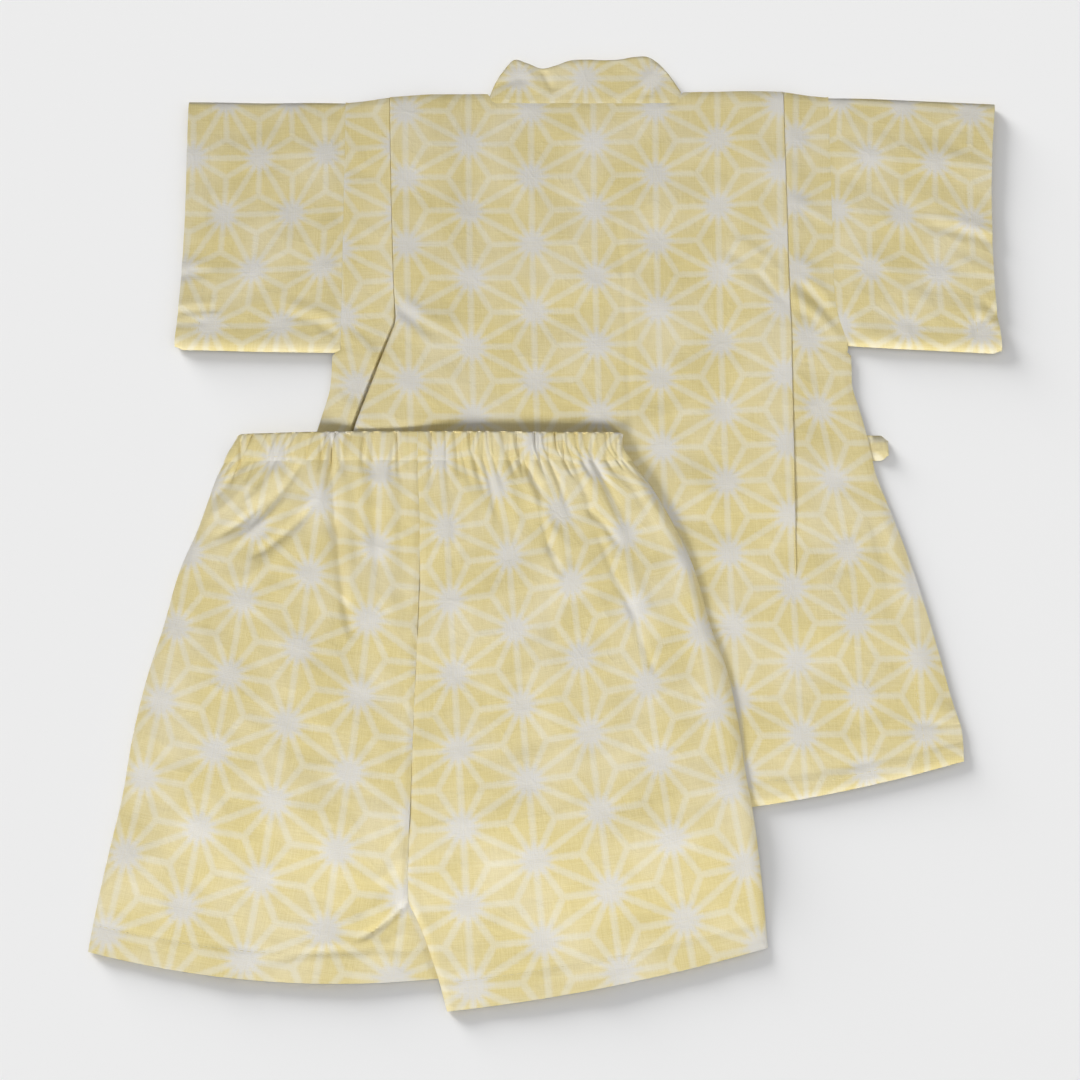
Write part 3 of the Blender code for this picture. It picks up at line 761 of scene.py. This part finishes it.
legs = {
    "left": {
        "side": -1, "outerHem": -210.6, "innerHem": -222.5, "sag": -7.5, "foldShare": 0.72, "area": 0.066,
        "outerY": shorts["outerLeftY"], "outer": shorts["outerLeft"], "node": "leg_left",
        "print": {"x": -147.3, "y": -115.8,
                  "u": (-46.6, 97.5, -14.9, 7.6, -3.1, 1.1), "v": (-103.4, 16.5, 96.6, 1.3, -4.4, 0.6)},
        "creases": [
            (-111.5, 24, -108.5, -14, 0, 1.9, -2.2), (-108.5, -12, -103.5, -50, 0, 2.1, -2.2),
            (-103.5, -46, -100.5, -62, 0, 2.2, -1.5), (-105, 14, -101.5, -40, 0, 3.5, 1.4),
            (-117, 16, -113, -58, 0, 4.0, 1.3), (-127, 22, -147, -5, 1, 2.0, -1.8),
            (-141, 6, -164, -12, 1, 2.1, -1.7), (-122, -1, -146, -22, 1, 2.3, -1.7),
            (-154, 24, -168, 7, 0, 2.1, -1.5), (-134, 3, -158, -17, 1, 3.0, 1.5),
            (-150, 15, -170, -3, 1, 3.0, 1.3), (-138, 20, -152, 4, 1, 2.6, 1.2),
            (-92, 24, -88, -30, 0, 2.8, -1.3), (-84, 20, -82, -50, 0, 3.8, 1.2),
            (-97, 22, -95, -20, 0, 2.6, 1.1), (-77, 22, -77, -26, 0, 2.2, -0.9),
            (-128, -14, -150, -34, 1, 3.6, 1.0), (-150, -30, -172, -120, 2, 9, 1.2),
            (-135, -40, -150, -150, 2, 9, -0.9), (-118, -60, -124, -170, 1, 10, 1.1),
            (-95, -60, -98, -165, 0, 9, -0.8), (-190, -80, -206, -170, 1, 7, 0.8),
            (-182, -60, -196, -150, 1, 6, -0.7), (-93, -204, -73, -189, -1, 1.4, -3.4),
            (-98, -199, -80, -184, -1, 3.0, 0.9), (-88, -211, -72, -199, -1, 2.6, 1.0),
            (-132, -214, -84, -209, 1, 1.8, -0.9), (-86, -178, -74, -165, -1, 3.0, 1.0),
            (-112, -196, -92, -182, -1, 4.0, -0.7), (-80, -150, -73, -186, 1, 3.0, 0.8),
        ],
    },
    "right": {
        "side": 1, "outerHem": -208.8, "innerHem": -237.8, "sag": -3.3, "foldShare": 0.5, "area": 0.0745,
        "outerY": shorts["outerRightY"], "outer": shorts["outerRight"], "node": "leg_right",
        "print": {"x": 12.2, "y": -126.8,
                  "u": (58.9, 98.9, 11.7, 9.2, 1.9, 0.4), "v": (-88.7, -15.0, 96.6, -3.8, -5.3, 0.6)},
        "creases": [
            (-36, 24, -31, -4, 0, 1.8, -1.8), (-20, 24, -9, 7, 1, 1.8, -2.1),
            (-10, 9, -5, -19, -1, 1.9, -2.1),
            (-6, -17, 0, -32, 0, 2.2, -1.8), (3, -30, 0, -60, -1, 3.2, 1.8),
            (-4, -34, -6, -60, 0, 3.4, -1.0),
            (5, 24, 15, -2, 1, 2.0, -2.0), (14, -1, 27, -17, 1, 1.8, -1.5),
            (19, -14, 35, -52, -1, 2.0, -1.4),
            (34, -48, 44, -78, -1, 2.2, -1.2), (44, -74, 41, -104, -1, 3.2, -0.9),
            (28, -18, 46, -56, -1, 3.6, 1.1), (12, -22, 24, -60, -1, 4.4, 1.0),
            (-16, 14, 0, -16, -1, 3.0, 1.4), (12, 16, 30, -14, 1, 3.0, 1.3),
            (-27, 22, -20, -10, 0, 2.6, 1.2),
            (-50, 24, -52, -30, 0, 2.4, -1.2), (-58, 18, -60, -60, 0, 4.0, 1.0),
            (-43, 24, -42, -12, 0, 2.4, 1.1),
            (24, 24, 40, 2, 1, 2.2, -1.4), (38, 8, 56, -24, 2, 3.4, 1.0),
            (60, -30, 76, -110, 1, 5.0, 1.0), (54, -40, 66, -120, 1, 5.0, -0.9),
            (-30, -40, -26, -140, 0, 10, 0.9), (0, -90, 12, -200, 1, 10, 1.0),
            (-14, -90, -8, -200, 1, 9, -0.8),
            (40, -110, 52, -200, 1, 9, -0.7), (66, -110, 80, -195, 1, 8, 0.8),
            (-62, -150, -48, -215, 1, 7, 1.0),
        ],
    },
}
gathers = {"count": 38, "seed": 11, "depth": 1.3, "width": 0.95, "reach": [8.0, 11, 14, 20, 28, 44]}


def innerEdge(y):
    return curveAt(y, shorts["innerY"], shorts["inner"])


def restingHeight(x, y):  # what the shorts lie on: the top, or the floor past its edge
    sideRoom = halfWidth(np.minimum(y, 79.0)) - np.abs(x - top["centre"])
    hemRoom = y - top["hemY"] - hemLift(x)
    room = np.minimum(sideRoom / shorts["sideFall"], hemRoom / shorts["hemFall"])
    return shorts["level"] * smooth(1.0 + room) + 0.5


def gatherTable():
    random = np.random.RandomState(gathers["seed"])
    count = gathers["count"]
    left, right = shorts["outerLeft"][1] + 3.0, shorts["outerRight"][2] - 2.0
    places = mix(left, right, (np.arange(count) + random.uniform(0.1, 0.9, count)) / count)
    depths = gathers["depth"] * random.uniform(0.35, 1.4, count)
    widths = gathers["width"] * random.uniform(0.7, 1.5, count)
    reaches = random.choice(gathers["reach"], count)
    leans = random.uniform(-0.09, 0.09, count)
    return list(zip(places, depths, widths, reaches, leans))


def gatherHeight(x, y, edge, outer):
    # each gather is a narrow trough that opens and fades below the waist
    waistInner = shorts["inner"][1]
    waistOuter = np.where(outer < edge, shorts["outerLeft"][1], shorts["outerRight"][2])
    share = (x - edge) / (outer - edge)
    atWaist = waistInner + share * (waistOuter - waistInner)
    drop = np.maximum(shorts["waistY"] - y, 0.0)
    total = np.zeros_like(atWaist)
    for place, depth, width, reach, lean in gatherTable():
        away = atWaist - place - lean * (y - shorts["waistY"])
        fade = 1.0 - smooth(drop / reach)
        total -= depth * fade * np.exp(-(away / (width * (1.0 + drop / 22.0))) ** 2)
    return total


def shortsHeight(leg, x, y):  # the visible side of a leg
    side = leg["side"]
    edge, outer = innerEdge(y), curveAt(y, leg["outerY"], leg["outer"])
    width = np.abs(outer - edge)
    share = np.clip((x - edge) / (outer - edge), 0, 1)
    outerRoom, innerRoom = width * (1 - share), width * share
    rest = restingHeight(x, y)
    below = smooth((shorts["crotchY"] - y) / 12.0)
    folds = leg["foldShare"] * creaseHeight(x, y, leg["creases"])
    folds = folds + wavesAt(x, y, shorts["broadWave"], side) + wavesAt(x, y, shorts["fineWave"], side)
    loft = shorts["loft"] + 1.6 * np.sin(math.pi * share) * smooth(-y / 40.0)
    loft = loft + shorts["waistLoft"] * smooth((y + 40.0) / 60.0)
    loft = loft * mix(1.0, 0.62, smooth((y + 150.0) / -60.0))
    innerRoll = mix(1.0, roundEdge(innerRoom / 4.0), below)
    dip = -0.6 * np.exp(-(innerRoom / 1.1) ** 2) + 0.25 * np.exp(-((innerRoom - 3.0) / 1.5) ** 2)
    over = 0.0 if side < 0 else 0.8 * below * np.exp(-(innerRoom / 9.0) ** 2)
    calm = smooth(outerRoom / 6.0)
    z = rest + loft * roundEdge(outerRoom / 6.0) * innerRoll + folds * calm * mix(1.0, 0.8, below)
    z = z + gatherHeight(x, y, edge, outer) * smooth(outerRoom / 4.0) + dip * (1 - below) + over
    return np.maximum(z, rest + 0.62 * roundEdge(outerRoom / 3.0)), rest


def legPrint(leg, x, y):  # the gathered cloth above the hips takes its place from the hip line
    hip = np.minimum(y, -10.0)
    share = (x - innerEdge(y)) / (curveAt(y, leg["outerY"], leg["outer"]) - innerEdge(y))
    xHip = mix(innerEdge(hip), curveAt(hip, leg["outerY"], leg["outer"]), share)
    u, _ = printPlace(leg["print"], xHip, hip)
    _, v = printPlace(leg["print"], x, y)
    return u, v


def legPoints(leg):
    side = leg["side"]
    nUpper, nUnder, nRows = 150, 26, 248
    t = np.linspace(0, 1, nUpper)
    upperShare = mix(t, np.sin(t * math.pi / 2), 0.3)
    r = np.linspace(0, 1, nUnder)[1:]
    underShare = 1 - mix(r, 1 - np.cos(r * math.pi / 2), 0.35)
    share = np.concatenate([upperShare, underShare])[None, :]
    isUnder = np.concatenate([np.zeros(nUpper, bool), np.ones(nUnder - 1, bool)])[None, :]
    down = mix(np.linspace(0, 1, nRows), np.linspace(0, 1, nRows) ** 1.6, 0.6)[:, None]
    start = shorts["waistY"] - 0.03
    innerY = mix(start, leg["innerHem"], down)
    outerY = mix(start, leg["outerHem"], down)
    lowLap = smooth((shorts["crotchY"] - innerY) / 8.0)
    # below the crotch the left leg's edge goes under the right one's
    innerX = innerEdge(innerY) + (0.02 if side > 0 else mix(-0.02, 3.0, lowLap))
    outerX = curveAt(outerY, leg["outerY"], leg["outer"])
    x = mix(innerX, outerX, share)
    y = mix(innerY, outerY, share) + leg["sag"] * 4 * share * (1 - share) * down ** 2
    upperZ, rest = shortsHeight(leg, x, y)
    hemRoom = (1 - down) * (start - innerY[-1]) + 0 * share
    pastTurn = hemRoom - shorts["hemTurn"]
    hemBand = 0.14 * smooth(-pastTurn / 1.2) - 0.16 * np.exp(-((pastTurn - 0.6) / 0.9) ** 2)
    upperZ = upperZ + hemBand * smooth(np.abs(outerX - x) / 6.0)
    z = np.where(isUnder, rest, upperZ)
    u, v = legPrint(leg, x, y)
    uEdge, _ = legPrint(leg, outerX, outerY)
    u = np.where(isUnder, 2 * uEdge - u, u)
    return x, y, z, u, v


def makeLeg(name, leg):
    arrays = legPoints(leg)
    if leg["side"] > 0:
        arrays = [a[::-1] for a in arrays]
    made = clothSheet(name, *arrays)
    finishPiece(made, shortsCloth, [leg["node"]])


makeLeg("legLeft", legs["left"])
makeLeg("legRight", legs["right"])
print("legs made")


casing = {"bulge": 0.8, "cols": 560, "around": 42, "wavy": 0.05, "front": 0.62}


def casingPoints():
    t = np.linspace(0, 1, casing["cols"])[:, None]
    ring = np.linspace(0, 1, casing["around"])[None, :]
    # from the foot up the visible side, over the top edge, and down behind
    isFront = ring < casing["front"]
    up = np.where(isFront, ring / casing["front"], 1 - (ring - casing["front"]) / (1 - casing["front"]))
    rise = np.sin(up * math.pi / 2) ** 1.05
    foot, head = shorts["waistY"], shorts["waistTopY"]
    y = mix(foot, head, rise) + 0 * t
    left = curveAt(y, shorts["outerLeftY"], shorts["outerLeft"])
    right = curveAt(y, shorts["outerRightY"], shorts["outerRight"])
    x = mix(left, right, t)
    edge = innerEdge(y)
    outer = np.where(x < edge, left, right)
    folds = gatherHeight(x, y, edge, outer)
    atTop = gatherHeight(x, 0 * y + head, edge, outer)
    y = y + casing["wavy"] * atTop * rise + 0.6 * np.cos((x + 62.0) / 60.0) ** 2 * rise
    footZ = np.where(x < edge, shortsHeight(legs["left"], x, 0 * y + foot)[0],
                     shortsHeight(legs["right"], x, 0 * y + foot)[0])
    rest = restingHeight(x, y)
    endRoom = np.minimum(x - left, right - x)
    ends = roundEdge(endRoom / 5.0)
    crown = np.sin(math.pi * np.clip(up * 0.93, 0, 1)) ** 0.7
    atFoot = gatherHeight(x, 0 * y + foot, edge, outer) * smooth(endRoom / 4.0)
    loft = shorts["loft"] + shorts["waistLoft"]
    footCreases = footZ - loft * ends - rest - atFoot
    upperZ = rest + (loft + casing["bulge"] * crown) * ends + folds * smooth(endRoom / 4.0)
    upperZ = upperZ + footCreases * (1 - smooth(up / 0.9))
    edgeZ = rest + 0.62 + 0.85 * loft * ends
    upperZ = mix(upperZ, edgeZ, smooth((up - 0.72) / 0.28) ** 1.6)
    upperZ = np.maximum(upperZ, rest + 0.62 * roundEdge(endRoom / 3.0))
    underZ = mix(rest, edgeZ, smooth((up - 0.6) / 0.4) ** 1.6)
    z = np.where(isFront, upperZ, underZ)
    uLeft, vLeft = legPrint(legs["left"], x, y)
    uRight, vRight = legPrint(legs["right"], x, y)
    u = np.where(x < edge, uLeft, uRight)
    v = np.where(x < edge, vLeft, vRight)
    v = np.where(isFront, v, v + 2 * (head - y))
    return x, y, z, u, v


def makeCasing():
    made = clothSheet("waistCasing", *[a[::-1] for a in casingPoints()])
    finishPiece(made, shortsCloth, ["waistband"])


makeCasing()
print("waist casing made")


# ties

tie = {
    "middleY": 32.0,
    "half": 6.4,
    "narrowing": 0.42,
    "puffsFrom": 152.0,
    "creaseX": 155.4,
    "creaseY": 29.5,
}


def makeTie(name, x0, x1, level, rise, node):
    x = np.linspace(x0, x1, 72)[:, None]
    t = np.linspace(-1, 1, 26)[None, :]
    end = smooth((x - x1 + 5.0) / 5.0)
    half = tie["half"] * (1 - tie["narrowing"] * end ** 2)
    y = tie["middleY"] + t * half + 0 * x
    # past the side seam the end puffs up like the knot that it was tied in
    free = smooth((x - tie["puffsFrom"]) / 3.5)
    crown = (1 - np.abs(t) ** 2.6) * roundEdge((x1 - x) / 3.4)
    crease = 0.8 * np.exp(-((x - tie["creaseX"] + 0.5 * t) / 0.7) ** 2)
    crease = crease * smooth((y - tie["creaseY"]) / 2.0)
    z = level + rise * free * crown - crease * free + 0.25 * np.sin(x * 1.1 + 2 * t) * free * crown
    z = np.maximum(z, 0.6)
    xx = x + 0 * t
    made = clothSheet(name, xx[::-1], y[::-1], z[::-1], xx[::-1] - 140, y[::-1])
    finishPiece(made, trimCloth, [node])


makeTie("tieFront", 104.6, 161.4, 0.7, 2.6, "tie_front")
makeTie("tieSide", 143.2, 156.2, 1.25, 0.4, "tie_side")
print("ties made")


# stitches

stitch = {
    "pitch": 3.4,
    "length": 2.3,
    "half": 0.16,
    "high": 0.09,
    "colour": "E0D3A0",
    "backHem": (97.0, 176.0),
    "aboveHem": 6.5,
    "hemLimit": -131.2,
    "vent": [(163, -55), (167.7, -75), (171.5, -100), (173.6, -118)],
    "waist": (-161.0, 31.0),
    "belowWaistTop": 12.1,
}


def threadMaterial():
    s = Shader("sewingThread")
    place = s.node("ShaderNodeTexCoord", {}, (), "Object")
    tone = s.noise(s.scaled(place, (900.0, 900.0, 900.0)), 1.0, 1.0)
    shade = s.blend(tone, colour(stitch["colour"]), colour("EDE3BE"))
    s.tree.nodes.new("ShaderNodeOutputMaterial")
    thread = s.node("ShaderNodeBsdfPrincipled", {}, {"Base Color": shade, "Roughness": 0.6})
    s.tree.links.new(thread.out, s.tree.nodes["Material Output"].inputs["Surface"])
    return s.material


def stitchPlaces(path):  # even steps along a run, with the way that each stitch points
    path = np.asarray(path, float)
    run = np.concatenate([[0.0], np.cumsum(np.hypot(*np.diff(path, axis=0).T))])
    at = np.arange(stitch["pitch"] / 2, run[-1], stitch["pitch"])
    starts = [np.interp(at - stitch["length"] / 2, run, path[:, i]) for i in (0, 1)]
    ends = [np.interp(at + stitch["length"] / 2, run, path[:, i]) for i in (0, 1)]
    return zip(*starts, *ends)


def makeStitches(name, cloth, paths):
    # each stitch is a thread that dives into the cloth at both ends
    shape = [(0.0, -0.15, 0.5), (0.22, 0.8, 1.0), (0.5, 1.0, 1.0), (0.78, 0.8, 1.0), (1.0, -0.15, 0.5)]
    points, faces = [], []
    for x0, y0, x1, y1 in (place for path in paths for place in stitchPlaces(path)):
        length = max(math.hypot(x1 - x0, y1 - y0), 0.1)
        across = (-(y1 - y0) / length * stitch["half"], (x1 - x0) / length * stitch["half"])
        first = len(points)
        for share, rise, wide in shape:
            x, y = mix(x0, x1, share), mix(y0, y1, share)
            hit, ground, _, _ = cloth.ray_cast(Vector((x * mm, y * mm, 0.05)), Vector((0, 0, -1)))
            level = ground.z / mm if hit else 0.6
            for side, up in ((-1, 0.0), (0, 1.0), (1, 0.0)):
                points.append((x + side * wide * across[0], y + side * wide * across[1],
                               level + stitch["high"] * rise * up - 0.04 * (1 - up)))
        for ring in range(len(shape) - 1):
            for side in range(3):
                a, b = first + 3 * ring + side, first + 3 * ring + (side + 1) % 3
                faces.append((a, b, b + 3, a + 3))
        last = first + 3 * (len(shape) - 1)
        faces += [(first + 2, first + 1, first), (last, last + 1, last + 2)]
    mesh = bpy.data.meshes.new(name)
    mesh.from_pydata([tuple(c * mm for c in point) for point in points], [], faces)
    mesh.shade_smooth()
    made = bpy.data.objects.new(name, mesh)
    bpy.context.collection.objects.link(made)
    finishPiece(made, thread)


def hemRun(leg, room):  # a run at an even distance above a leg's hem
    outerX = curveAt(leg["outerHem"], leg["outerY"], leg["outer"])
    innerX = innerEdge(leg["innerHem"])
    share = np.linspace(0.03, 0.97, 40)
    sag = leg["sag"] * 4 * share * (1 - share)
    rise = mix(leg["innerHem"], leg["outerHem"], share) + sag + room
    return np.stack([mix(innerX, outerX, share), rise], 1)


def cuffRun(side):
    arm = sleeves[side]
    y = np.linspace(90.0, 206.0, 30)
    out = curveAt(y, sleeve["cuffY"], arm["cuffOut"]) - sleeve["cuffTurn"] + 0.9
    return np.stack([top["centre"] + arm["side"] * (top["seam"] + out), y], axis=1)


bpy.context.view_layer.update()
thread = threadMaterial()
hemX = np.linspace(*stitch["backHem"], 40)
hemLine = np.maximum(top["hemY"] + hemLift(hemX) + stitch["aboveHem"], stitch["hemLimit"])
backRuns = [np.stack([hemX, hemLine], 1), stitch["vent"]]
makeStitches("backStitches", bpy.data.objects["backPanel"], backRuns)
for side, clothName in (("left", "sleeveLeft"), ("right", "sleeveRight")):
    makeStitches(clothName + "Stitches", bpy.data.objects[clothName], [cuffRun(side)])
for side, clothName in (("left", "legLeft"), ("right", "legRight")):
    legRuns = [hemRun(legs[side], shorts["hemTurn"])]
    makeStitches(clothName + "Stitches", bpy.data.objects[clothName], legRuns)
waistRun = [[(x, shorts["waistTopY"] - stitch["belowWaistTop"]) for x in stitch["waist"]]]
makeStitches("waistStitches", bpy.data.objects["waistCasing"], waistRun)
print("stitches made")


# floor, light, camera

view = {
    "tilt": 12.0,
    "distance": 975.0,
    "lens": 66.67,
    "targetX": -10.0,
    "targetY": -14.0,
}


def makeFloor():
    bpy.ops.mesh.primitive_plane_add(size=8.0, location=(0, 0, -0.0002))
    floor = bpy.context.object
    floor.name = "floor"
    s = Shader("paleFloor")
    s.tree.nodes.new("ShaderNodeOutputMaterial")
    paint = s.node("ShaderNodeBsdfPrincipled", {}, {"Base Color": colour("F2F2F2"), "Roughness": 0.95,
                                                    "Specular IOR Level": 0.1})
    s.tree.links.new(paint.out, s.tree.nodes["Material Output"].inputs["Surface"])
    floor.data.materials.append(s.material)
    return floor


def makeLight(name, kind, place, aim, power, size, spread=180.0):
    data = bpy.data.lights.new(name, kind)
    data.energy = power
    if kind == "AREA":
        data.shape = "DISK"
        data.size = size
        data.spread = math.radians(spread)
    else:
        data.angle = size
    lamp = bpy.data.objects.new(name, data)
    bpy.context.collection.objects.link(lamp)
    lamp.location = place
    lamp.rotation_euler = (Vector(aim) - Vector(place)).to_track_quat("-Z", "Y").to_euler()
    return lamp


floor = makeFloor()
clothSide = bpy.data.collections.new("clothSide")
floorSide = bpy.data.collections.new("floorSide")
for piece in bpy.context.scene.objects:
    if piece.type == "MESH":
        (floorSide if piece == floor else clothSide).objects.link(piece)
windowLight = makeLight("windowLight", "AREA", (-1.35, -1.7, 1.3), (0.07, 0.02, 0), 2.75, 0.8, 42.0)
fillLight = makeLight("fillLight", "AREA", (1.2, -1.4, 1.2), (0, 0, 0), 18.5, 0.6)
floorLight = makeLight("floorLight", "SUN", (-1.0, 1.05, 0.22), (0, 0, 0), 7.3, math.radians(30))
floorSky = makeLight("floorSky", "SUN", (0, 0, 1), (0, 0, 0), 0.81, math.radians(150))
for lamp in (windowLight, fillLight):
    lamp.light_linking.receiver_collection = clothSide
for lamp in (floorLight, floorSky):
    lamp.light_linking.receiver_collection = floorSide
world = bpy.data.worlds.new("studio")
bpy.context.scene.world = world
world.use_nodes = True
world.node_tree.nodes["Background"].inputs[0].default_value = (1, 1, 1, 1)
world.node_tree.nodes["Background"].inputs[1].default_value = 0.32
bpy.context.scene.view_settings.view_transform = "Standard"

cameraData = bpy.data.cameras.new("camera")
cameraData.lens = view["lens"]
cameraData.sensor_width = 36.0
camera = bpy.data.objects.new("camera", cameraData)
bpy.context.collection.objects.link(camera)
tilt = math.radians(view["tilt"])
camera.location = (view["targetX"] * mm, (view["targetY"] - view["distance"] * math.sin(tilt)) * mm,
                   view["distance"] * math.cos(tilt) * mm)
camera.rotation_euler = (tilt, 0, 0)
bpy.context.scene.camera = camera
print("floor, light and camera made")
